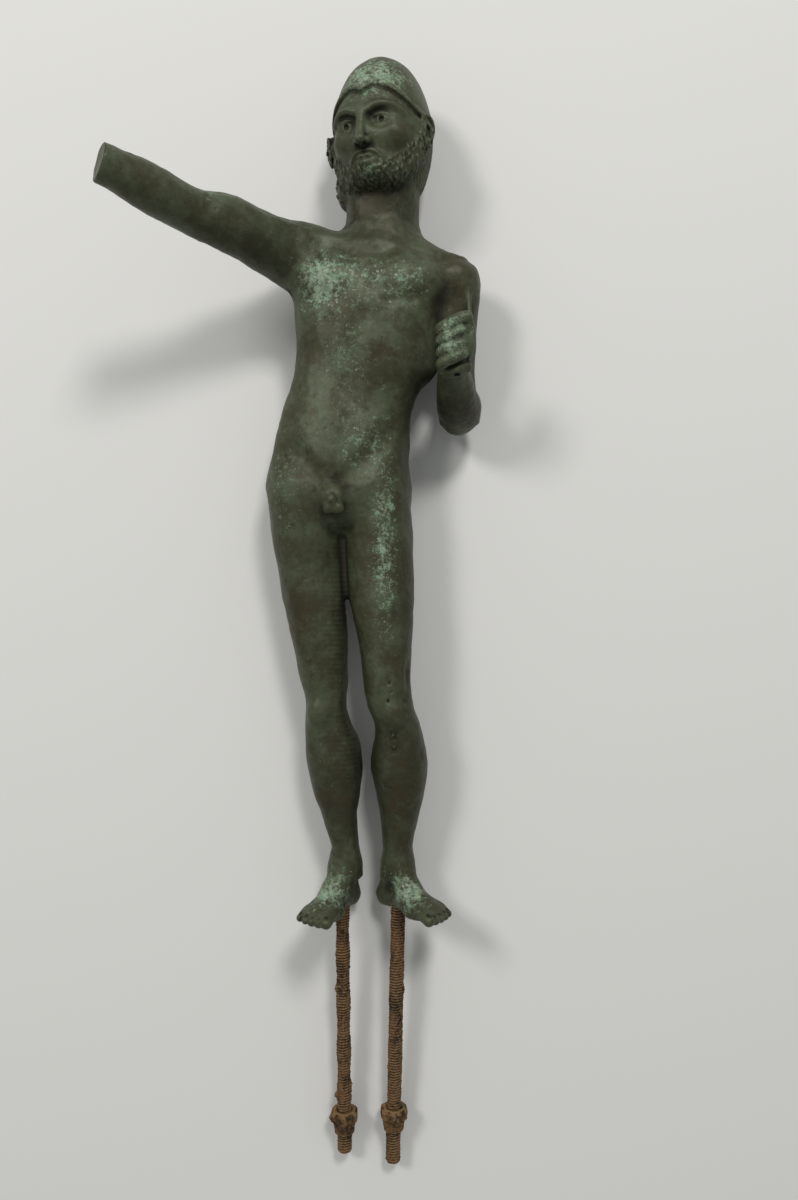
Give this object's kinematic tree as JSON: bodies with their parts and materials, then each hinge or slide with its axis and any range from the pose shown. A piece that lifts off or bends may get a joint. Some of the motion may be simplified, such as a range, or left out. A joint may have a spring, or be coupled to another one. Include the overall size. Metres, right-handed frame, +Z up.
{
  "type": "greek bronze statuette",
  "caption": "Cast bronze nude bearded man, one arm outstretched and broken at the wrist, the other fist raised, with rusted threaded rods and nuts under the soles for a base.",
  "frame": {"origin": "middle of the bounding box seen from above, at the level of the surface that the statuette lies on", "axes": "the figure lies on its back: +Y towards the top of its head, -Y along the rods under its soles, +Z up out of its chest, +X towards its own left"},
  "size_m": [0.1208, 0.3866, 0.0739],
  "materials": {
    "patinated_bronze": "cast bronze with a dark olive-green patina, mint verdigris speckle and worn brown high spots",
    "rusted_iron": "threaded steel, rusted brown and matt, flaking in places"
  },
  "bodies": {
    "root": {"bronze_figure": "patinated_bronze", "right_threaded_rod": "rusted_iron", "left_threaded_rod": "rusted_iron", "right_nut": "rusted_iron", "left_nut": "rusted_iron"}
  },
  "joints": []
}
